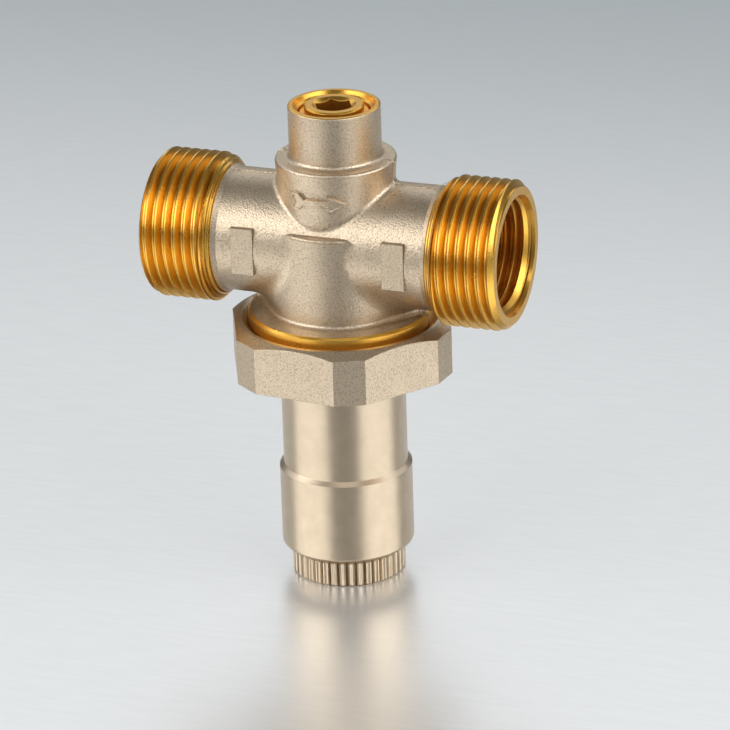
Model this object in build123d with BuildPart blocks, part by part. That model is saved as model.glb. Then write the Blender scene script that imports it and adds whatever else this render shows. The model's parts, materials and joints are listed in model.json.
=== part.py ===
from build123d import *
from build123d.topology import SkipClean
from math import cos, radians, sin, tan
import os

# A spring-set three way valve. Two in-line pipe ports lie along X, the third way is the boss on top,
# and the spring housing with its knurled adjuster hangs below. The origin is the centre of the
# adjuster's foot, +X is the flow direction and -Y is the side that carries the flow arrow.

# ---- driving dimensions, in millimetres -----------------------------------------------------------
run_height = 62.7  # run axis above the foot of the knurled ring
port_reach = 32.75  # stem axis to each port face
total_height = 87.6

pipe_pitch = 1.814  # 14 threads to the inch, shared by G 1/2 and G 3/4
whitworth_depth = 0.640327 * pipe_pitch
running_clearance = 0.05
male_crest_r = 26.441 / 2  # G 3/4 outside thread
female_crest_r = 18.631 / 2  # G 1/2 inside thread
shoulder_x = 19.75  # where the threaded end starts
shoulder_r = 11.4  # the thread runs out over a 45 degree chamfer that starts at this radius
shoulder_flare = 0.9  # length over which the tube flares out to the shoulder
end_chamfer = 1.09
mouth_r = 10.65
mouth_draft = 0.35  # the mouth's wall closes in by this much
mouth_depth = 1.2
mouth_chamfer = 0.9
female_end_x = 20.5  # inner end of the inside thread
crest_facets = 8  # the crest of each turn is built in this many arcs

tube_r = 10.95
neck_bore_r = 8.0
inner_bore_r = 6.5
neck_bore_end = 13.5  # where the neck bore steps down to the inner bore
inlet_end = -7.0
inlet_window_r = 4.2
inlet_window_height = 2.4
outlet_end = 8.0
outlet_drop_x = 8.4  # the drilling that feeds the outlet from the lower chamber
outlet_drop_r = 3.0
barrel_r = 12.0
barrel_top = 4.0  # this and the heights below are measured from the run axis
barrel_blend = 4.0
ledge_round = 0.75
ledge_slope = 35  # the ledge's rounded edge ends at this angle below level
collar_top_r = 10.67
collar_foot_r = 9.45  # the collar is a cone, this is its radius at the run axis
collar_blend = 1.0
collar_top = 15.47
collar_edge = 0.55  # radius that rounds the collar's rim
boss_r = 8.1
boss_top = total_height - run_height
boss_edge = 0.3
foot_blend = 0.8  # radius where the boss stands on the collar and the barrel on the flange
boss_bore_r = 6.4
boss_mouth_r = 7.15
boss_step_r = 6.9  # foot of the mouth's steep cone
boss_step_depth = 0.7
chamber_r = 5.6

pad_x = 13.9
pad_width = 4.1
pad_height = 8.5
pad_face = 11.05  # distance of the blank pads' faces from the run axis
arrow_x = 0.4
arrow_height = 10.1
arrow_relief = 0.5

flange_top = -12.5
flange_r = 16.35
flange_edge = 0.4
flange_bottom = -15.35
flange_under_slope = 0.15  # the flange's underside rises this much from its rim to the thread
skirt_thread_r = 16.5  # M33 x 1.5
skirt_bottom = -21.0
recess_r = 14.7
diaphragm_seat = -17.6
lower_chamber_r = 9.6
lower_chamber_top = -8.5

nut_corner_r = 20.325
nut_corner_angle = 7.96  # half the angle that a truncated corner takes up
nut_turn = 23.95  # first truncated corner, from -Y towards +X
nut_top = -14.1
nut_bottom = -23.49
nut_lip_top = -21.4
nut_chamfer_angle = 30
nut_rim_r = 18.3
nut_mouth_r = 17.5
nut_bore_r = skirt_thread_r + running_clearance
nut_lip_r = 11.3

housing_r = 11.05
housing_foot_r = 11.81
housing_step = -41.85
housing_bottom = -57.4
housing_bore_r = 9.0
housing_floor = -54.2
housing_flange_top = -19.0
housing_foot_round = 0.8
journal_bore_r = 5.06
groove_width = 3.2
groove_r = 9.9

ring_r = 10.1
ring_top = -58.0
ring_foot = -run_height
ring_edge = 0.35
rib_count = 40
rib_depth = 0.7
rib_gap = 0.4  # half the width of the cutter at its back
flute_depth = 0.15  # shallow flute along the middle of each rib
ring_recess_r = 8.2
ring_web_bottom = -60.9

stem_travel = 2.5
seat_gap = 0.05
lower_seat = -1.4
upper_seat = 7.2
seat_bore_r = 3.5
seat_lip_r = 4.1
seat_ring_r = 5.0
web_top = -2.0
web_bottom = -4.2
seat_shelf = -3.6
stem_r = 1.6
stem_collar_r = 2.5
stem_foot = -21.3
wing_bottom = -5.6
wing_top = 0.2
wing_thickness = 0.9
stem_thread_r = 2.0
spigot_r = 1.45
holder_r = 4.8
disc_r = 4.25
disc_thickness = 1.2
holder_rim = 1.0
poppet_height = 6.0
nut_height = 1.5
diaphragm_thickness = 1.0
diaphragm_bore_r = 2.15
hub_bottom = -15.8
hub_top = hub_bottom + diaphragm_thickness
washer_top = hub_top + 1.2
spring_cup_r = 8.2
lock_washer_height = 0.7

bush_hub_r = 5.22
bush_thread_r = boss_bore_r - running_clearance
bush_thread_top = 23.6
bush_edge = 0.25
bush_nose_r = 5.55
bush_bore_r = 2.9
seal_groove_bottom = 9.6
seal_groove_top = 11.4
seal_groove_r = 4.0
seal_wire_r = 0.75
hex_depth = 6.5
hex_mouth_r = 3.835
hex_mouth_depth = 0.55
hex_flats = 6.0
bush_shoulder = 13.3

spring_wire_r = 1.1
spring_mean_r = 6.4
spring_coils = 7
spring_top = -17.0
plate_top = -44.2
plate_thickness = 5.0
plate_r = 8.8
spindle_r = 4.0
spindle_top = -40.5
collar_r = 6.2
collar_bottom = -53.68
collar_top_face = -52.5
journal_r = 5.0
journal_bottom = -57.5
spindle_groove_bottom = -56.3
spindle_groove_top = -54.9
spindle_groove_r = 3.8
spindle_seal_height = (spindle_groove_bottom + spindle_groove_top) / 2
spindle_seal_wire_r = 0.58
square_flats = 6.0
square_bottom = -60.7
screw_r = 1.5
screw_tip = -55.5

# ---- shared helpers -------------------------------------------------------------------------------
section = Plane((0, 0, run_height), x_dir=(1, 0, 0), z_dir=(0, -1, 0))


def level(height):
    """The horizontal plane at a height above the run axis."""
    return Plane.XY.offset(run_height + height)


def turn(*outline, mode=Mode.ADD):
    """Revolve an outline of (radius, height above the run axis) points about the stem axis."""
    with BuildSketch(section) as profile:
        with BuildLine():
            Polyline(*outline, close=True)
        make_face()
    revolve(profile.sketch, axis=Axis.Z, mode=mode)


def tube(outer, inner, bottom, top, mode=Mode.ADD):
    """A round sleeve about the stem axis."""
    turn((inner, bottom), (outer, bottom), (outer, top), (inner, top), mode=mode)


def rod(radius, bottom, top, mode=Mode.ADD):
    """A round bar about the stem axis."""
    tube(radius, 0, bottom, top, mode)


def cross_drill(radius, start_x, end_x, height, mode=Mode.SUBTRACT):
    """A round bar or drilling along X at a height above the run axis."""
    with BuildSketch(Plane((start_x, 0, run_height + height), x_dir=(0, 1, 0), z_dir=(1, 0, 0))) as face:
        Circle(radius)
    extrude(face.sketch, amount=end_x - start_x, mode=mode)


def prism(outline, bottom, top, mode=Mode.ADD):
    """Extrude a closed sketch between two heights."""
    extrude(level(bottom) * outline, amount=top - bottom, mode=mode)


def ring_edges(piece, radius, height):
    """The round edges of a piece about the stem axis, at a radius and a height above the run axis."""
    circles = piece.edges().filter_by(GeomType.CIRCLE)
    on_level = circles.filter_by_position(Axis.Z, run_height + height - 0.01, run_height + height + 0.01)
    return [edge for edge in on_level if abs(edge.radius - radius) < 0.01]


def torus(ring_radius, wire_radius, height):
    """A round ring about the stem axis, such as an O-ring."""
    with BuildSketch(section) as profile:
        with Locations((ring_radius, height)):
            Circle(wire_radius)
    revolve(profile.sketch, axis=Axis.Z)


def save(piece, name, colour):
    """Label a finished piece and write it to its own file."""
    piece.part.label = name
    piece.part.color = Color(*colour)
    export_step(piece.part, f"parts/{name}.step")


def hexagon(flats):
    with BuildSketch() as outline:
        RegularPolygon(flats / 2, 6, major_radius=False)
    return outline.sketch


# ---- colours --------------------------------------------------------------------------------------
nickel = (0.74, 0.68, 0.58)
raw_brass = (0.82, 0.58, 0.20)
steel = (0.62, 0.63, 0.65)
black_rubber = (0.06, 0.06, 0.06)
white_acetal = (0.90, 0.89, 0.84)

os.makedirs("parts", exist_ok=True)


# ---- pipe threads ---------------------------------------------------------------------------------
def thread_turns(crest_r, outward, start_x, turns):
    """One V groove per turn, cut from the crest towards the root; outward for an inside thread."""
    side = 1 if outward else -1
    half_depth = whitworth_depth / 2
    overshoot = 0.12
    half_root = pipe_pitch / 12
    half_mouth = pipe_pitch * 5 / 12
    flare = overshoot * (half_mouth - half_root) / whitworth_depth
    with BuildPart() as groove:
        with BuildLine() as path:
            Helix(pipe_pitch, pipe_pitch, crest_r + side * half_depth, (start_x, 0, 0), (1, 0, 0))
        helix = path.edges()[0]
        start = helix @ 0
        with BuildSketch(Plane(start, x_dir=Vector(0, start.Y, start.Z), z_dir=helix % 0)):
            with BuildLine():
                Polyline(
                    (-side * (half_depth + overshoot), -half_mouth - flare),
                    (side * half_depth, -half_root),
                    (side * half_depth, half_root),
                    (-side * (half_depth + overshoot), half_mouth + flare),
                    close=True,
                )
            make_face()
        sweep(path=path.line, is_frenet=True)
    return [Pos(turn_number * pipe_pitch, 0, 0) * groove.part for turn_number in range(turns)]


# The threaded end, made lying on the X axis: a ring in equal sectors with both threads cut in it.
with BuildPart() as end_sector:
    with BuildSketch(Plane.XZ):
        with BuildLine():
            Polyline(
                (shoulder_x, neck_bore_r),
                (shoulder_x, shoulder_r),
                (shoulder_x + male_crest_r - shoulder_r, male_crest_r),
                (port_reach - end_chamfer, male_crest_r),
                (port_reach, male_crest_r - end_chamfer),
                (port_reach, mouth_r),
                (port_reach - mouth_depth, mouth_r - mouth_draft),
                (port_reach - mouth_depth - mouth_chamfer, female_crest_r),
                (female_end_x, female_crest_r),
                (female_end_x, neck_bore_r),
                close=True,
            )
        make_face()
    revolve(axis=Axis.X, revolution_arc=360 / crest_facets)

with SkipClean():
    with BuildPart() as threaded_end:
        for facet in range(crest_facets):
            add(end_sector.part.rotate(Axis.X, facet * 360 / crest_facets), clean=False)
        add(thread_turns(male_crest_r, False, shoulder_x, 8), mode=Mode.SUBTRACT, clean=False)
        female_start = female_end_x + 1.2
        add(thread_turns(female_crest_r, True, female_start, 6), mode=Mode.SUBTRACT, clean=False)

# ---- body -----------------------------------------------------------------------------------------
with BuildPart() as above_ledge:
    with BuildSketch(section) as ledge_outline:
        with BuildLine():
            Line((0, barrel_top), (barrel_r - ledge_round, barrel_top))
            round_centre = (barrel_r - ledge_round, barrel_top - ledge_round)
            rounded = CenterArc(round_centre, ledge_round, 90, -ledge_slope)
            outside = rounded @ 1 + (rounded % 1) * barrel_r
            Polyline(
                rounded @ 1,
                (outside.X, outside.Y),
                (outside.X, boss_top),
                (0, boss_top),
                (0, barrel_top),
            )
        make_face()
    revolve(axis=Axis.Z)
    cross_drill(tube_r, -2 * barrel_r, 2 * barrel_r, 0)

with BuildPart() as flow_arrow:
    with BuildSketch(Plane((arrow_x, 1 - collar_foot_r, run_height + arrow_height), (1, 0, 0), (0, -1, 0))):
        with BuildLine():
            Polyline(
                (-5.25, 1.5),
                (-3.7, 1.5),
                (-2.8, 0.55),
                (1.7, 0.55),
                (1.7, 1.65),
                (5.25, 0),
                (1.7, -1.65),
                (1.7, -0.55),
                (-2.8, -0.55),
                (-3.7, -1.5),
                (-5.25, -1.5),
                (-4.4, 0),
                close=True,
            )
        make_face()
    extrude(amount=4)
    turn(
        (0, 0),
        (collar_foot_r + arrow_relief, 0),
        (collar_top_r + arrow_relief, collar_top),
        (0, collar_top),
        mode=Mode.INTERSECT,
    )

with BuildPart() as body:
    # run tube and barrel, blended together, then cut back to the ledge
    cross_drill(tube_r, -shoulder_x, shoulder_x, 0, mode=Mode.ADD)
    blend_reach = tube_r + barrel_blend + 1
    rod(barrel_r, -blend_reach, blend_reach)
    fillet(body.edges().filter_by(GeomType.BSPLINE), barrel_blend)
    add(above_ledge.part, mode=Mode.SUBTRACT)

    # the tube flares out to each shoulder
    with BuildSketch(Plane.XZ) as flare:
        with Locations((0, run_height)):
            for side in (-1, 1):
                Polygon(
                    (side * (shoulder_x - shoulder_flare), 0),
                    (side * (shoulder_x - shoulder_flare), tube_r),
                    (side * shoulder_x, shoulder_r),
                    (side * shoulder_x, 0),
                    align=None,
                )
    revolve(flare.sketch, axis=Axis((0, 0, run_height), (1, 0, 0)))

    # collar, boss and the skirt that the union nut screws on
    turn((0, 0), (collar_foot_r, 0), (collar_top_r, collar_top), (0, collar_top))
    rod(boss_r, 0, boss_top)
    turn(
        (0, skirt_bottom),
        (skirt_thread_r, skirt_bottom),
        (skirt_thread_r, flange_bottom + flange_under_slope),
        (flange_r, flange_bottom),
        (flange_r, flange_top - flange_edge),
        (flange_r - flange_edge, flange_top),
        (0, flange_top),
    )
    collar_joint = body.edges().filter_by(GeomType.BSPLINE).sort_by(SortBy.LENGTH)[-1]
    fillet(collar_joint, collar_blend)
    fillet(ring_edges(body, boss_r, collar_top), foot_blend)
    fillet(ring_edges(body, collar_top_r, collar_top), collar_edge)
    fillet(ring_edges(body, boss_r, boss_top), boss_edge)
    fillet(ring_edges(body, barrel_r, flange_top), foot_blend)
    add(flow_arrow.part)
    with Locations((-pad_x, 0, run_height), (pad_x, 0, run_height)):
        Box(pad_width, 2 * pad_face, pad_height)

    # diaphragm recess and lower chamber
    rod(recess_r, skirt_bottom, diaphragm_seat, mode=Mode.SUBTRACT)
    turn(
        (0, diaphragm_seat),
        (recess_r - 3.3, diaphragm_seat),
        (recess_r - 3.3, -14.3),
        (lower_chamber_r, -12.5),
        (lower_chamber_r, lower_chamber_top),
        (0, lower_chamber_top),
        mode=Mode.SUBTRACT,
    )

    # seat pocket, upper chamber and the bore for the seat bush
    rod(seat_ring_r + 0.2, lower_chamber_top, web_bottom, mode=Mode.SUBTRACT)
    rod(seat_lip_r - 0.2, web_bottom, seat_shelf, mode=Mode.SUBTRACT)
    rod(seat_ring_r, seat_shelf, web_top, mode=Mode.SUBTRACT)
    rod(chamber_r, web_top, bush_shoulder, mode=Mode.SUBTRACT)
    turn(
        (0, bush_shoulder),
        (boss_bore_r, bush_shoulder),
        (boss_bore_r, boss_top - boss_step_depth - 0.4),
        (boss_step_r, boss_top - boss_step_depth),
        (boss_mouth_r, boss_top),
        (0, boss_top),
        mode=Mode.SUBTRACT,
    )

    # run bores: the inlet opens above the seat, the outlet is fed from below it
    cross_drill(neck_bore_r, -shoulder_x, -neck_bore_end, 0)
    cross_drill(inner_bore_r, -neck_bore_end, inlet_end, 0)
    cross_drill(inlet_window_r, inlet_end, 0, inlet_window_height)
    cross_drill(neck_bore_r, neck_bore_end, shoulder_x, 0)
    cross_drill(inner_bore_r, outlet_end, neck_bore_end, 0)
    with Locations((outlet_drop_x, 0, run_height - 7.1)):
        Cylinder(outlet_drop_r, 5.4, mode=Mode.SUBTRACT)

    # threaded ends, each turned the same hand
    with SkipClean():
        right_end = Pos(0, 0, run_height) * threaded_end.part
        add(right_end, clean=False)
        add(right_end.rotate(Axis.Z, 180), clean=False)
save(body, "body", nickel)

# ---- seats and the third way's bush ---------------------------------------------------------------
with BuildPart() as main_seat:
    turn(
        (seat_bore_r, seat_shelf),
        (seat_ring_r, seat_shelf),
        (seat_ring_r, web_top),
        (seat_lip_r, web_top),
        (seat_lip_r - 0.2, lower_seat),
        (seat_bore_r, lower_seat),
    )
save(main_seat, "main_seat", steel)

with BuildPart() as port_bush:
    turn(
        (0, upper_seat),
        (3.5, upper_seat),
        (3.9, upper_seat + 0.8),
        (bush_nose_r, upper_seat + 0.8),
        (bush_nose_r, seal_groove_bottom),
        (seal_groove_r, seal_groove_bottom),
        (seal_groove_r, seal_groove_top),
        (bush_nose_r, seal_groove_top),
        (bush_nose_r, bush_shoulder),
        (bush_thread_r, bush_shoulder),
        (bush_thread_r, bush_thread_top - 0.4),
        (bush_thread_r - 0.4, bush_thread_top),
        (bush_hub_r, bush_thread_top),
        (bush_hub_r, boss_top - bush_edge),
        (bush_hub_r - bush_edge, boss_top),
        (0, boss_top),
    )
    rod(bush_bore_r, upper_seat, boss_top, mode=Mode.SUBTRACT)
    prism(hexagon(hex_flats), boss_top - hex_depth, boss_top, mode=Mode.SUBTRACT)
    turn(
        (0, boss_top - hex_mouth_depth),
        (hex_flats / 2, boss_top - hex_mouth_depth),
        (hex_mouth_r, boss_top),
        (0, boss_top),
        mode=Mode.SUBTRACT,
    )
save(port_bush, "port_bush", raw_brass)

with BuildPart() as port_bush_seal:
    torus(bush_nose_r - seal_wire_r, seal_wire_r, (seal_groove_bottom + seal_groove_top) / 2)
save(port_bush_seal, "port_bush_seal", black_rubber)

# ---- poppet, carried by the stem ------------------------------------------------------------------
disc_bottom = upper_seat - seat_gap - poppet_height
lower_disc_top = disc_bottom + disc_thickness
upper_disc_bottom = disc_bottom + poppet_height - disc_thickness
poppet_top = disc_bottom + poppet_height

with BuildPart() as stem:
    rod(stem_r, washer_top, disc_bottom)
    rod(stem_collar_r, disc_bottom - 0.9, disc_bottom)
    rod(spigot_r, disc_bottom, poppet_top + nut_height)
    rod(stem_collar_r, washer_top, washer_top + 1.2)
    rod(stem_thread_r, stem_foot, washer_top)
    with BuildSketch(level(wing_bottom)) as wings:
        with PolarLocations(0, 3):
            Rectangle(seat_bore_r, wing_thickness, align=(Align.MIN, Align.CENTER))
        Circle(seat_bore_r - running_clearance, mode=Mode.INTERSECT)
    extrude(wings.sketch, amount=wing_top - wing_bottom)
save(stem, "stem", steel)

with BuildPart() as poppet_holder:
    tube(holder_r, spigot_r, lower_disc_top - holder_rim, upper_disc_bottom + holder_rim)
    rod(disc_r, lower_disc_top - holder_rim, lower_disc_top, mode=Mode.SUBTRACT)
    rod(disc_r, upper_disc_bottom, upper_disc_bottom + holder_rim, mode=Mode.SUBTRACT)
save(poppet_holder, "poppet_holder", raw_brass)

for disc_name, disc_height in (("lower_disc", disc_bottom), ("upper_disc", upper_disc_bottom)):
    with BuildPart() as seat_disc:
        tube(disc_r, spigot_r, disc_height, disc_height + disc_thickness)
    save(seat_disc, disc_name, black_rubber)

with BuildPart() as poppet_nut:
    tube(2.4, spigot_r, poppet_top, poppet_top + nut_height)
    with BuildSketch(level(poppet_top + nut_height)) as slot:
        Rectangle(6, 0.8)
    extrude(slot.sketch, amount=-0.7, mode=Mode.SUBTRACT)
    rod(spigot_r, poppet_top, poppet_top + nut_height, mode=Mode.SUBTRACT)
save(poppet_nut, "poppet_nut", raw_brass)

# ---- diaphragm and the plates that clamp its hub --------------------------------------------------
with BuildPart() as diaphragm:
    turn(
        (diaphragm_bore_r, hub_bottom),
        (9.0, hub_bottom),
        (11.2, diaphragm_seat - diaphragm_thickness),
        (recess_r - 0.1, diaphragm_seat - diaphragm_thickness),
        (recess_r - 0.1, diaphragm_seat),
        (10.9, diaphragm_seat),
        (8.7, hub_top),
        (diaphragm_bore_r, hub_top),
    )
save(diaphragm, "diaphragm", black_rubber)

with BuildPart() as diaphragm_washer:
    turn(
        (stem_thread_r, hub_top),
        (7.6, hub_top),
        (8.0, hub_top + 0.4),
        (8.0, washer_top),
        (stem_thread_r, washer_top),
    )
save(diaphragm_washer, "diaphragm_washer", raw_brass)

with BuildPart() as spring_cup:
    turn(
        (stem_thread_r, spring_top),
        (spring_cup_r - 0.6, spring_top),
        (spring_cup_r - 0.6, spring_top - 1.6),
        (spring_cup_r, spring_top - 1.6),
        (spring_cup_r, hub_bottom - 0.3),
        (spring_cup_r - 0.3, hub_bottom),
        (stem_thread_r, hub_bottom),
    )
save(spring_cup, "spring_cup", steel)

with BuildPart() as lock_washer:
    tube(3.8, stem_thread_r, spring_top - lock_washer_height, spring_top)
    with Locations((2.9, 0, run_height + spring_top - lock_washer_height / 2)):
        Box(2.4, 0.5, lock_washer_height, mode=Mode.SUBTRACT)
save(lock_washer, "lock_washer", steel)

stem_nut_top = spring_top - lock_washer_height
with BuildPart() as stem_nut:
    prism(hexagon(7.0), stem_nut_top - 3.2, stem_nut_top)
    rod(stem_thread_r, stem_nut_top - 3.2, stem_nut_top, mode=Mode.SUBTRACT)
save(stem_nut, "stem_nut", steel)

with BuildPart() as friction_ring:
    tube(recess_r - 0.1, 11.3, housing_flange_top, diaphragm_seat - diaphragm_thickness)
save(friction_ring, "friction_ring", white_acetal)

# ---- union nut ------------------------------------------------------------------------------------
corner_angles = [
    nut_turn - 90 + corner * 60 + side * nut_corner_angle for corner in range(6) for side in (-1, 1)
]
with BuildPart() as union_nut:
    with BuildSketch(level(nut_bottom)) as nut_outline:
        with BuildLine():
            Polyline(
                *[
                    (nut_corner_r * cos(radians(angle)), nut_corner_r * sin(radians(angle)))
                    for angle in corner_angles
                ],
                close=True,
            )
        make_face()
    extrude(nut_outline.sketch, amount=nut_top - nut_bottom)
    chamfer_drop = (nut_corner_r + 1 - nut_rim_r) * tan(radians(nut_chamfer_angle))
    turn(
        (nut_lip_r, nut_bottom),
        (nut_corner_r + 1, nut_bottom),
        (nut_corner_r + 1, nut_top - chamfer_drop),
        (nut_rim_r, nut_top),
        (nut_mouth_r, nut_top),
        (nut_bore_r, nut_top - (nut_mouth_r - nut_bore_r)),
        (nut_bore_r, nut_lip_top),
        (nut_lip_r, nut_lip_top),
        mode=Mode.INTERSECT,
    )
save(union_nut, "union_nut", nickel)

# ---- spring housing -------------------------------------------------------------------------------
step = housing_foot_r - housing_r
with BuildPart() as housing:
    turn(
        (0, housing_bottom),
        (housing_foot_r, housing_bottom),
        (housing_foot_r, housing_step - step),
        (housing_r, housing_step),
        (housing_r, nut_lip_top),
        (recess_r - 0.1, nut_lip_top),
        (recess_r - 0.1, housing_flange_top),
        (0, housing_flange_top),
    )
    fillet(housing.edges().filter_by(GeomType.CIRCLE).sort_by(Axis.Z)[0], housing_foot_round)
    rod(housing_bore_r, housing_floor, housing_flange_top, mode=Mode.SUBTRACT)
    rod(journal_bore_r, housing_bottom, housing_floor, mode=Mode.SUBTRACT)
    with BuildSketch(level(housing_floor)) as grooves:
        Rectangle(2 * groove_r, groove_width)
        Circle(groove_r, mode=Mode.INTERSECT)
    extrude(grooves.sketch, amount=housing_flange_top - housing_floor, mode=Mode.SUBTRACT)
save(housing, "spring_housing", nickel)

# ---- regulating spring: ground flat at both ends --------------------------------------------------
with BuildPart() as regulating_spring:
    coil_height = spring_top - plate_top
    with BuildLine() as coil:
        Helix(
            coil_height / spring_coils,
            coil_height,
            spring_mean_r,
            center=(0, 0, run_height + plate_top),
        )
    wire_path = coil.edges()[0]
    with BuildSketch(Plane(wire_path @ 0, z_dir=wire_path % 0)):
        Circle(spring_wire_r)
    sweep(path=coil.line, is_frenet=True)
    tube(spring_mean_r + 2, spring_mean_r - 2, plate_top, spring_top, mode=Mode.INTERSECT)
save(regulating_spring, "regulating_spring", steel)

# ---- travelling plate, spindle and knurled ring ---------------------------------------------------
with BuildPart() as spring_plate:
    rod(plate_r, plate_top - plate_thickness, plate_top)
    with BuildSketch(level(plate_top - plate_thickness)) as lugs:
        Rectangle(2 * (groove_r - 0.1), groove_width - 0.2)
        Circle(groove_r - 0.1, mode=Mode.INTERSECT)
    extrude(lugs.sketch, amount=plate_thickness)
    rod(4.9, plate_top, plate_top + 1.5)
    rod(spindle_r + running_clearance, plate_top - plate_thickness, plate_top + 1.5, mode=Mode.SUBTRACT)
save(spring_plate, "spring_plate", raw_brass)

with BuildPart() as spindle:
    turn(
        (0, journal_bottom),
        (journal_r, journal_bottom),
        (journal_r, spindle_groove_bottom),
        (spindle_groove_r, spindle_groove_bottom),
        (spindle_groove_r, spindle_groove_top),
        (journal_r, spindle_groove_top),
        (journal_r, collar_bottom),
        (collar_r, collar_bottom),
        (collar_r, collar_top_face),
        (spindle_r, collar_top_face),
        (spindle_r, spindle_top - 0.6),
        (spindle_r - 0.6, spindle_top),
        (0, spindle_top),
    )
    with BuildSketch(level(square_bottom)) as square:
        Rectangle(square_flats, square_flats)
    extrude(square.sketch, amount=journal_bottom - square_bottom)
    rod(screw_r, square_bottom, screw_tip, mode=Mode.SUBTRACT)
save(spindle, "spindle", raw_brass)

with BuildPart() as spindle_seal:
    torus(journal_r - spindle_seal_wire_r, spindle_seal_wire_r, spindle_seal_height)
save(spindle_seal, "spindle_seal", black_rubber)

with BuildPart() as thrust_washer:
    tube(8.4, journal_bore_r, housing_floor, housing_floor + 0.5)
save(thrust_washer, "thrust_washer", white_acetal)

with BuildPart() as knurled_ring:
    turn(
        (0, ring_web_bottom),
        (ring_recess_r, ring_web_bottom),
        (ring_recess_r, ring_foot + 0.3),
        (ring_recess_r + 0.3, ring_foot),
        (ring_r - ring_edge, ring_foot),
        (ring_r, ring_foot + ring_edge),
        (ring_r, ring_top - ring_edge),
        (ring_r - ring_edge, ring_top),
        (7.0, ring_top),
        (7.0, journal_bottom),
        (0, journal_bottom),
    )
    with BuildSketch(level(ring_foot)) as rib_gaps:
        with PolarLocations(ring_r, rib_count):
            Polygon((0.2, -rib_gap), (-rib_depth, 0), (0.2, rib_gap), align=None)
        with PolarLocations(ring_r, rib_count, start_angle=180 / rib_count):
            Polygon((0.1, -rib_gap), (-flute_depth, 0), (0.1, rib_gap), align=None)
    extrude(rib_gaps.sketch, amount=ring_top - ring_foot, mode=Mode.SUBTRACT)
    with BuildSketch(level(ring_web_bottom)) as square_hole:
        Rectangle(square_flats, square_flats)
    extrude(square_hole.sketch, amount=journal_bottom - ring_web_bottom, mode=Mode.SUBTRACT)
save(knurled_ring, "knurled_ring", nickel)

with BuildPart() as ring_washer:
    tube(5.0, screw_r, ring_web_bottom - 0.5, ring_web_bottom)
save(ring_washer, "ring_washer", steel)

head_top = ring_web_bottom - 0.5
with BuildPart() as ring_screw:
    rod(screw_r, head_top, screw_tip - 0.5)
    turn((0, head_top - 1.1), (2.4, head_top - 1.1), (2.9, head_top - 0.6), (2.9, head_top), (0, head_top))
    with BuildSketch(level(head_top - 1.1)) as slot:
        Rectangle(8, 0.8)
    extrude(slot.sketch, amount=0.6, mode=Mode.SUBTRACT)
save(ring_screw, "ring_screw", steel)
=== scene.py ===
"""Looks, camera and light for the three way valve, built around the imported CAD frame."""
import json
import math

import bpy
from mathutils import Matrix, Vector


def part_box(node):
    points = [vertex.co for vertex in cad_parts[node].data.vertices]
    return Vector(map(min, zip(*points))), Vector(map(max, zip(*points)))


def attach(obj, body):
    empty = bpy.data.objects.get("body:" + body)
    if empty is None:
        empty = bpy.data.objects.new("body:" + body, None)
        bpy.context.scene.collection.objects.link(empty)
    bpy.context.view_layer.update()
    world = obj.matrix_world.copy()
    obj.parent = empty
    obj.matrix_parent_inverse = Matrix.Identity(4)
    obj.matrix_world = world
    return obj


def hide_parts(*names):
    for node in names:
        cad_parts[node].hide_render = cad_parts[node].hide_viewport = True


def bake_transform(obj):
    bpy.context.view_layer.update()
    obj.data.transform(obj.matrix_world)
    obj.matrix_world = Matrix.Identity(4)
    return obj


MM = 0.001

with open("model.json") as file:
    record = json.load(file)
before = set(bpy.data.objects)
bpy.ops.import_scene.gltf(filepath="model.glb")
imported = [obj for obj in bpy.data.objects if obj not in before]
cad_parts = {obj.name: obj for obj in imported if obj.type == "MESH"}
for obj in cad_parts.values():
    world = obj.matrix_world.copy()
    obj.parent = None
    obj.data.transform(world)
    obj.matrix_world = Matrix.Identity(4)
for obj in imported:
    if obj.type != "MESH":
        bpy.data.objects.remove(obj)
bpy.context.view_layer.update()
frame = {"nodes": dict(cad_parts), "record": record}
nodes = frame["nodes"]
record = frame["record"]

# ---- places worked out from the frame --------------------------------------------------------------
mounts = {mount["name"]: mount for mount in record["mounts"]}
run_height = mounts["right_port_male"]["pos_m"][2]
boss_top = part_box("port_bush")[1].z

# ---- where the forging was machined to bare brass --------------------------------------------------
# x is measured from the stem axis and heights from the run axis, in metres
SHOULDER_X = 19.70 * MM
RUN_OUT_X = 21.6 * MM  # the thread's chamfer ends here
BORE_RADIUS = 9.0 * MM
BORE_START_X = 12.5 * MM
MOUTH_RADIUS = 7.6 * MM
MOUTH_FLOOR = 15.0 * MM
RIM_DEPTH = 0.12 * MM
FLANGE_TOP = -12.0 * MM
FLANGE_RADIUS = 15.75 * MM
FLANGE_UNDERSIDE = -13.2 * MM


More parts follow.
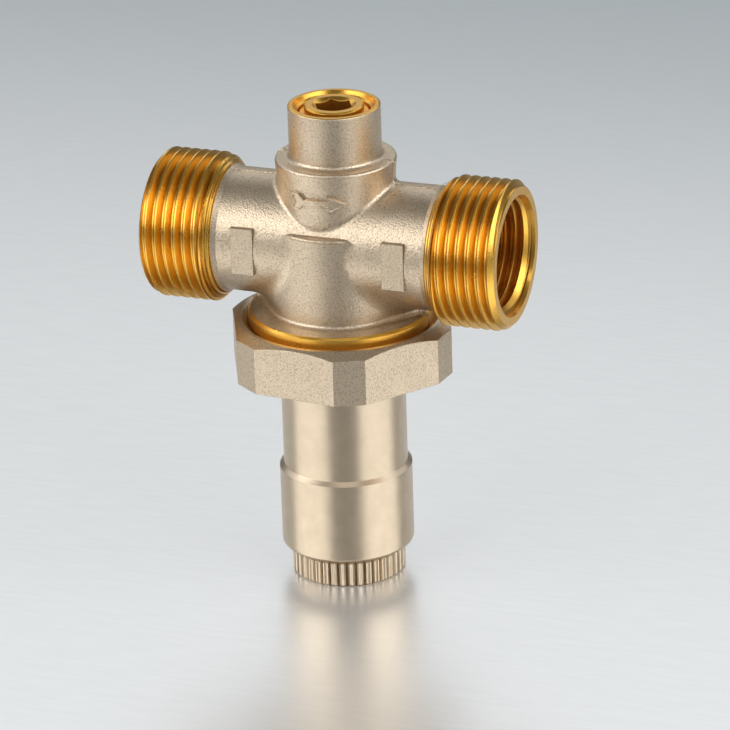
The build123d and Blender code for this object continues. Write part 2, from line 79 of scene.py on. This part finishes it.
# ---- node helpers ----------------------------------------------------------------------------------
class Graph:
    """A short way to write a node tree."""

    def __init__(self, name, world=False):
        owner = bpy.data.worlds.new(name) if world else bpy.data.materials.new(name)
        owner.use_nodes = True
        self.owner = owner
        self.tree = owner.node_tree
        self.tree.nodes.clear()

    def add(self, kind, inputs=None, **settings):
        """A new node, each of its inputs set to a value or joined to another node."""
        node = self.tree.nodes.new(kind)
        for key, value in settings.items():
            setattr(node, key, value)
        for key, value in (inputs or {}).items():
            socket = node.inputs[key]
            if isinstance(value, bpy.types.NodeSocket):
                self.tree.links.new(value, socket)
            else:
                socket.default_value = value
        return node

    def math(self, operation, *values):
        return self.add("ShaderNodeMath", dict(enumerate(values)), operation=operation).outputs[0]

    def times(self, first, second):
        """A product, which is also "both" where the values are 0 or 1."""
        return self.math("MULTIPLY", first, second)

    def length(self, first, second):
        """The length of the diagonal of two sides."""
        squares = self.math("ADD", self.math("POWER", first, 2.0), self.math("POWER", second, 2.0))
        return self.math("SQRT", squares)

    def step(self, value, low, high):
        """0 below low, 1 above high, smooth between."""
        node = self.add("ShaderNodeMapRange", {0: value, 1: low, 2: high}, interpolation_type="SMOOTHSTEP")
        return node.outputs[0]

    def scale(self, value, low, high):
        """Spread a 0 to 1 value over low to high."""
        return self.add("ShaderNodeMapRange", {0: value, 3: low, 4: high}).outputs[0]

    def mix(self, share, first, second):
        """A colour between two others."""
        node = self.add("ShaderNodeMix", data_type="RGBA")
        for socket, value in zip((node.inputs[0], node.inputs[6], node.inputs[7]), (share, first, second)):
            if isinstance(value, bpy.types.NodeSocket):
                self.tree.links.new(value, socket)
            else:
                socket.default_value = value
        return node.outputs[2]

    def noise(self, place, size, detail=2.0, roughness=0.5):
        """Noise whose lumps are about size metres across."""
        inputs = {"Vector": place, "Scale": 1 / size, "Detail": detail, "Roughness": roughness}
        return self.add("ShaderNodeTexNoise", inputs).outputs["Fac"]

    def place(self):
        """The point in the row frame, as a vector and as x, y and z."""
        point = self.add("ShaderNodeTexCoord").outputs["Object"]
        parts = self.add("ShaderNodeSeparateXYZ", {0: point})
        return point, parts.outputs[0], parts.outputs[1], parts.outputs[2]

    def stretched(self, place, factors):
        """A place whose pattern is drawn out along an axis where the factor is small."""
        return self.add("ShaderNodeMapping", {"Vector": place, "Scale": factors}).outputs[0]

    def bump(self, height, distance, strength=1.0, after=None):
        """The normal that a height gives, on top of another normal if there is one."""
        inputs = {"Height": height, "Distance": distance, "Strength": strength}
        if after is not None:
            inputs["Normal"] = after
        return self.add("ShaderNodeBump", inputs).outputs[0]


def rgb(red, green, blue):
    return (red, green, blue, 1.0)


NICKEL = rgb(0.68, 0.56, 0.42)
NICKEL_DARK = rgb(0.30, 0.23, 0.14)
BRASS = rgb(0.81, 0.46, 0.08)
BRASS_DARK = rgb(0.42, 0.18, 0.03)
# the colour of the painted shade along edges
EDGE_SHADE = rgb(0.12, 0.07, 0.03)
STEEL = rgb(0.56, 0.56, 0.57)


def brass_look(graph, point):
    """Bare machined brass: colour, roughness and grain height, with small dark tarnish spots."""
    cloud = graph.noise(point, 2.5 * MM, 3)
    spots = graph.step(graph.noise(point, 0.45 * MM, 2), 0.66, 0.72)
    colour = graph.mix(graph.scale(cloud, 0.0, 0.25), BRASS, BRASS_DARK)
    colour = graph.mix(graph.times(spots, 0.5), colour, BRASS_DARK)
    roughness = graph.scale(cloud, 0.24, 0.34)
    return colour, roughness, graph.noise(point, 0.35 * MM, 2)


def blasted_look(graph, point):
    """Blasted and nickel plated forging: a fine even grain with slight darker clouds."""
    cloud = graph.noise(point, 4 * MM, 3)
    grain = graph.noise(point, 0.30 * MM, 1.5, 0.6)
    colour = graph.mix(graph.scale(cloud, 0.0, 0.25), NICKEL, NICKEL_DARK)
    pits = graph.step(grain, 0.52, 0.34)
    colour = graph.mix(graph.times(pits, 0.5), colour, NICKEL_DARK)
    roughness = graph.scale(grain, 0.48, 0.34)
    return colour, roughness, grain


def painted_edge_shade(graph, colour, radius):
    """Painted shade: dark lines along every edge, where shade gathers in corners and on faces turned from
    the light, and the normal that rounds those edges.
    """
    rounded = graph.add("ShaderNodeBevel", {"Radius": radius}, samples=6).outputs[0]
    plain = graph.add("ShaderNodeNewGeometry").outputs["Normal"]
    product = graph.add("ShaderNodeVectorMath", {0: rounded, 1: plain}, operation="DOT_PRODUCT")
    # painted shade: how strongly each edge is darkened
    line = graph.times(graph.step(product.outputs["Value"], 0.985, 0.86), 0.75)
    return graph.mix(line, colour, EDGE_SHADE), rounded


def finish_metal(graph, colour, roughness, normal):
    """Join what a metal is made of into its material."""
    shader = graph.add(
        "ShaderNodeBsdfPrincipled",
        {"Base Color": colour, "Roughness": roughness, "Metallic": 1.0, "Normal": normal},
    )
    graph.add("ShaderNodeOutputMaterial", {"Surface": shader.outputs[0]})
    return graph.owner


def body_material():
    """The forging: nickel outside, bare brass where it was machined after plating."""
    graph = Graph("blasted_nickel_and_brass")
    point, x, y, z = graph.place()
    from_run = graph.math("SUBTRACT", z, run_height)
    along = graph.math("ABSOLUTE", x)
    run_radius = graph.length(y, from_run)
    stem_radius = graph.length(x, y)

    def above(value, limit):
        return graph.math("GREATER_THAN", value, limit)

    def below(value, limit):
        return graph.math("LESS_THAN", value, limit)

    ends = above(along, SHOULDER_X)
    mask = ends
    for part in (
        graph.times(below(run_radius, BORE_RADIUS), above(along, BORE_START_X)),
        graph.times(below(stem_radius, MOUTH_RADIUS), above(from_run, MOUTH_FLOOR)),
        above(z, boss_top - RIM_DEPTH),
        graph.times(below(from_run, FLANGE_TOP), above(stem_radius, FLANGE_RADIUS)),
        below(from_run, FLANGE_UNDERSIDE),
    ):
        mask = graph.math("MAXIMUM", mask, part)

    nickel_colour, nickel_roughness, grain = blasted_look(graph, point)
    brass_colour, brass_roughness, fine = brass_look(graph, point)
    colour = graph.mix(mask, nickel_colour, brass_colour)
    blend = {0: mask, 2: nickel_roughness, 3: brass_roughness}
    roughness = graph.add("ShaderNodeMix", blend, data_type="FLOAT").outputs[0]
    nickel_grain = graph.times(grain, graph.math("SUBTRACT", 1.0, mask))
    brass_grain = graph.times(graph.times(fine, 0.25), mask)
    height = graph.math("ADD", nickel_grain, brass_grain)

    # turned rings on the chamfer where the outside thread runs out
    ring_pitch = 0.62 * MM
    rings = graph.math("SINE", graph.times(along, 2 * math.pi / ring_pitch))
    run_out = graph.times(graph.step(along, RUN_OUT_X + 0.1 * MM, RUN_OUT_X - 0.1 * MM), ends)
    height = graph.math("ADD", height, graph.times(graph.times(rings, 1.4), run_out))
    # painted shade darkens the forging's colour along every edge
    colour, edges = painted_edge_shade(graph, colour, 0.13 * MM)
    return finish_metal(graph, colour, roughness, graph.bump(height, 0.07 * MM, 1.0, edges))


def blasted_material():
    """Blasted and plated pieces apart from the forging."""
    graph = Graph("blasted_nickel")
    point = graph.place()[0]
    colour, roughness, grain = blasted_look(graph, point)
    edges = graph.add("ShaderNodeBevel", {"Radius": 0.2 * MM}, samples=4).outputs[0]
    return finish_metal(graph, colour, roughness, graph.bump(grain, 0.065 * MM, 1.0, edges))


def satin_material():
    """Turned and plated: satin, with faint lines round the axis and soft streaks along it."""
    graph = Graph("satin_nickel")
    point = graph.place()[0]
    rings = graph.noise(graph.stretched(point, (0.05, 0.05, 1.0)), 0.12 * MM, 2)
    streaks = graph.noise(graph.stretched(point, (1.0, 1.0, 0.08)), 0.5 * MM, 2)
    cloud = graph.noise(point, 3.0 * MM, 4, 0.6)
    colour = graph.mix(graph.scale(cloud, 0.0, 0.45), NICKEL, NICKEL_DARK)
    roughness = graph.scale(streaks, 0.26, 0.36)
    height = graph.math("ADD", rings, graph.times(cloud, 0.5))
    edges = graph.add("ShaderNodeBevel", {"Radius": 0.12 * MM}, samples=4).outputs[0]
    return finish_metal(graph, colour, roughness, graph.bump(height, 0.008 * MM, 1.0, edges))


def brass_material():
    """Pieces of bare machined brass."""
    graph = Graph("machined_brass")
    point = graph.place()[0]
    colour, roughness, fine = brass_look(graph, point)
    edges = graph.add("ShaderNodeBevel", {"Radius": 0.12 * MM}, samples=4).outputs[0]
    return finish_metal(graph, colour, roughness, graph.bump(fine, 0.012 * MM, 1.0, edges))


def steel_material(name, roughness_low, roughness_high):
    """Turned steel, with fine rings round the axis."""
    graph = Graph(name)
    point = graph.place()[0]
    rings = graph.noise(graph.stretched(point, (0.1, 0.1, 1.0)), 0.15 * MM, 2)
    colour = graph.mix(graph.noise(point, 2.0 * MM, 3), STEEL, rgb(0.40, 0.40, 0.41))
    roughness = graph.scale(rings, roughness_low, roughness_high)
    return finish_metal(graph, colour, roughness, graph.bump(rings, 0.006 * MM))


def dull_material(name, colour, dark, roughness, grain_size, depth):
    """Rubber or plastic, slightly uneven."""
    graph = Graph(name)
    point = graph.place()[0]
    grain = graph.noise(point, grain_size, 3)
    shader = graph.add(
        "ShaderNodeBsdfPrincipled",
        {
            "Base Color": graph.mix(grain, colour, dark),
            "Roughness": graph.scale(grain, roughness - 0.06, roughness + 0.06),
            "Normal": graph.bump(grain, depth),
        },
    )
    graph.add("ShaderNodeOutputMaterial", {"Surface": shader.outputs[0]})
    return graph.owner


blasted = blasted_material()
satin = satin_material()
brass = brass_material()
steel = steel_material("turned_steel", 0.22, 0.34)
spring_steel = steel_material("spring_steel", 0.28, 0.42)
rubber = dull_material("rubber", rgb(0.02, 0.02, 0.02), rgb(0.045, 0.045, 0.045), 0.6, 0.3 * MM, 0.01 * MM)
acetal = dull_material("acetal", rgb(0.80, 0.79, 0.74), rgb(0.68, 0.67, 0.62), 0.4, 0.8 * MM, 0.005 * MM)

by_slot = {
    "nickel_blasted": blasted,
    "nickel_satin": satin,
    "raw_brass": brass,
    "steel": steel,
    "spring_steel": spring_steel,
    "rubber": rubber,
    "acetal": acetal,
}
for entry in record["subparts"]:
    piece = nodes[entry["node"]]
    piece.data.materials.clear()
    piece.data.materials.append(by_slot[entry["material_slot"]])
nodes["body"].data.materials[0] = body_material()


# ---- stand-in copies of the spring and the diaphragm -----------------------------------------------
def soft_copy(node_name, name):
    """Stand in for a node: a copy of its mesh in place, with the node hidden."""
    piece = bpy.data.objects.new(name, nodes[node_name].data.copy())
    bpy.context.scene.collection.objects.link(piece)
    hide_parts(node_name)
    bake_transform(piece)


soft_copy("regulating_spring", "coil_spring")
soft_copy("diaphragm", "rubber_diaphragm")

# ---- what the forging die and the trimming leave ----------------------------------------------------
skin = nodes["body"]
centre = Vector((0, 0, run_height))


def spread(first, last, count):
    """Evenly spaced numbers from first to last."""
    return [first + (last - first) * step / (count - 1) for step in range(count)]


def on_skin(starts, towards):
    """The first points of the body's surface on lines from the starts, each in its own direction."""
    casts = [skin.ray_cast(start, direction)[:2] for start, direction in zip(starts, towards)]
    return [place if hit else None for hit, place in casts]


def bead(name, points, radius, closed=False):
    """A fine raised line of metal that follows points on the body, thinning to nothing at open ends."""
    curve = bpy.data.curves.new(name, "CURVE")
    curve.dimensions = "3D"
    curve.bevel_depth = radius
    curve.bevel_resolution = 3
    spline = curve.splines.new("POLY")
    spline.points.add(len(points) - 1)
    last = len(points) - 1
    for index, (spline_point, point) in enumerate(zip(spline.points, points)):
        spline_point.co = (*point, 1)
        ripple = 0.85 + 0.15 * math.sin(index * 2.3) * math.sin(index * 0.9)
        spline_point.radius = ripple if closed else ripple * min(1, 0.2 + min(index, last - index) / 6)
    spline.use_cyclic_u = closed
    piece = bpy.data.objects.new(name, curve)
    bpy.context.scene.collection.objects.link(piece)
    curve.materials.append(blasted)
    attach(piece, "valve_body")


# the trimmed parting line of the die, over each shoulder of the tee and under each side of the tube
FLASH_RADIUS = 0.27 * MM
FLASH_SUNK = 0.06 * MM
for side, label in ((1, "right"), (-1, "left")):
    for part, first, last in (("upper", 31, 61), ("lower", -34, -44)):
        angles = [math.radians(degrees) for degrees in spread(first, last, 61)]
        outward = [Vector((side * math.cos(angle), 0, math.sin(angle))) for angle in angles]
        found = on_skin([centre + 0.05 * way for way in outward], [-way for way in outward])
        flash = [place - FLASH_SUNK * way for place, way in zip(found, outward) if place is not None]
        bead(f"parting_line_{part}_{label}", flash, FLASH_RADIUS)

# the lip along the front of the barrel's ledge
LIP_RADIUS = 0.40 * MM
LIP_HEIGHT = 3.62 * MM  # above the run axis
LIP_LIFT = 0.12 * MM
angles = [math.radians(degrees) for degrees in spread(-27, 27, 37)]
outward = [Vector((math.sin(angle), -math.cos(angle), 0)) for angle in angles]
starts = [centre + 0.02 * way + Vector((0, 0, LIP_HEIGHT)) for way in outward]
found = on_skin(starts, [-way for way in outward])
bead("ledge_lip", [place + Vector((0, 0, LIP_LIFT)) for place in found if place is not None], LIP_RADIUS)

# the flow arrow's rounded rim: half its outline, in millimetres from the arrow's middle towards +X and up
ARROW_X = 0.4 * MM
ARROW_HEIGHT = 10.1 * MM
RIM_RADIUS = 0.20 * MM
POINTS_PER_EDGE = 5
arrow_middle = centre + Vector((ARROW_X, -0.02, ARROW_HEIGHT))
upper_half = [(-5.2, 1.5), (-3.7, 1.45), (-2.8, 0.5), (1.75, 0.5), (1.75, 1.55), (5.1, 0)]
lower_half = [(across, -rise) for across, rise in reversed(upper_half[:-1])]
corners = upper_half + lower_half + [(-4.4, 0)]
inset = Vector((0.97, 0, 0.93)) * MM  # a little inside the arrow's edge
starts = []
for (across, rise), (next_across, next_rise) in zip(corners, corners[1:] + corners[:1]):
    for part in range(POINTS_PER_EDGE):
        share = part / POINTS_PER_EDGE
        shift_x = (across + (next_across - across) * share) * inset.x
        shift_z = (rise + (next_rise - rise) * share) * inset.z
        starts.append(arrow_middle + Vector((shift_x, 0, shift_z)))
found = on_skin(starts, [Vector((0, 1, 0))] * len(starts))
bead("arrow_rim", [place for place in found if place is not None], RIM_RADIUS, closed=True)

# ---- floor -----------------------------------------------------------------------------------------
reach = 1.6
corners = [(-reach, -reach, 0), (reach, -reach, 0), (reach, reach, 0), (-reach, reach, 0)]
floor_mesh = bpy.data.meshes.new("floor")
floor_mesh.from_pydata(corners, [], [(0, 1, 2, 3)])
floor = bpy.data.objects.new("floor", floor_mesh)
bpy.context.scene.collection.objects.link(floor)
floor_graph = Graph("pale_sheet")
floor_point = floor_graph.place()[0]
brushed = floor_graph.noise(floor_graph.stretched(floor_point, (0.12, 1.0, 1.0)), 1.2 * MM, 3)
near_colour = floor_graph.mix(brushed, rgb(0.76, 0.77, 0.77), rgb(0.84, 0.85, 0.85))
behind = floor_graph.add("ShaderNodeSeparateXYZ", {0: floor_point}).outputs[1]
# painted shade: the sheet's colour is darkened towards its back, standing in for light falling off there
far_shade = floor_graph.times(floor_graph.step(behind, 0.06, 0.40), 0.62)  # the sheet darkens towards its back
floor_shader = floor_graph.add(
    "ShaderNodeBsdfPrincipled",
    {
        "Base Color": floor_graph.mix(far_shade, near_colour, rgb(0.28, 0.35, 0.37)),
        "Roughness": 0.32,
        "Metallic": 0.7,
    },
)
floor_graph.add("ShaderNodeOutputMaterial", {"Surface": floor_shader.outputs[0]})
floor_mesh.materials.append(floor_graph.owner)

# ---- camera ----------------------------------------------------------------------------------------
azimuth = math.radians(20.68)
elevation = math.radians(22.5)
roll = math.radians(-1.858)
distance = 0.8566
side_shift = 4.643 * MM
rise_shift = -22.252 * MM
focal_in_frames = 6.708  # focal length in picture widths
sensor_width = 36


def outwards(turn, lift):
    """The way out from the stem axis, turned from -Y towards +X and lifted above level, in radians."""
    return Vector((math.sin(turn) * math.cos(lift), -math.cos(turn) * math.cos(lift), math.sin(lift)))


back = outwards(azimuth, elevation)
level_right = Vector((math.cos(azimuth), math.sin(azimuth), 0))
level_up = back.cross(level_right)
right = math.cos(roll) * level_right + math.sin(roll) * level_up
up = -math.sin(roll) * level_right + math.cos(roll) * level_up
eye = centre + distance * back + side_shift * right + rise_shift * up

camera_data = bpy.data.cameras.new("camera")
camera_data.sensor_width = sensor_width
camera_data.lens = focal_in_frames * sensor_width
camera_data.clip_end = 10
camera = bpy.data.objects.new("camera", camera_data)
camera.matrix_world = Matrix([*zip(right, up, back, eye), (0, 0, 0, 1)])
bpy.context.scene.collection.objects.link(camera)
bpy.context.scene.camera = camera

# ---- light -----------------------------------------------------------------------------------------
middle = Vector((0, 0, 0.05))
light_distance = 0.80


def softbox(name, turn, lift, width, height, power):
    """A soft rectangular light, turned from the camera's side and lifted above level by so many degrees."""
    towards = outwards(azimuth + math.radians(turn), math.radians(lift))
    data = bpy.data.lights.new(name, "AREA")
    data.shape = "RECTANGLE"
    data.size = width
    data.size_y = height
    data.energy = power
    lamp = bpy.data.objects.new(name, data)
    lamp.location = middle + light_distance * towards
    lamp.rotation_euler = towards.to_track_quat("Z", "Y").to_euler()
    bpy.context.scene.collection.objects.link(lamp)


softbox("left_box", -68, 30, 1.00, 0.50, 4.9)
softbox("right_box", 62, 30, 1.00, 0.50, 4.9)
softbox("high_box", 0, 56, 0.60, 0.22, 0.65)

# The studio: dim all round, with a bright wall in front of the camera that fades out low and high.
wall_strength = 1.3
room_strength = 0.14
world_graph = Graph("studio", world=True)
direction = world_graph.add("ShaderNodeTexCoord").outputs["Generated"]
parts = world_graph.add("ShaderNodeSeparateXYZ", {0: direction})
rise = parts.outputs[2]
ahead = world_graph.math(
    "ADD",
    world_graph.times(parts.outputs[0], -math.sin(azimuth)),
    world_graph.times(parts.outputs[1], math.cos(azimuth)),
)
wall = world_graph.times(world_graph.step(rise, 0.20, 0.52), world_graph.step(rise, 0.80, 0.60))
wall = world_graph.times(wall, world_graph.step(ahead, 0.1, 0.6))
strength = world_graph.math("ADD", world_graph.times(wall, wall_strength), room_strength)
backdrop = world_graph.add("ShaderNodeBackground", {"Color": rgb(0.96, 0.98, 1.0), "Strength": strength})
world_graph.add("ShaderNodeOutputWorld", {"Surface": backdrop.outputs[0]})
bpy.context.scene.world = world_graph.owner
bpy.context.scene.view_settings.view_transform = "Standard"
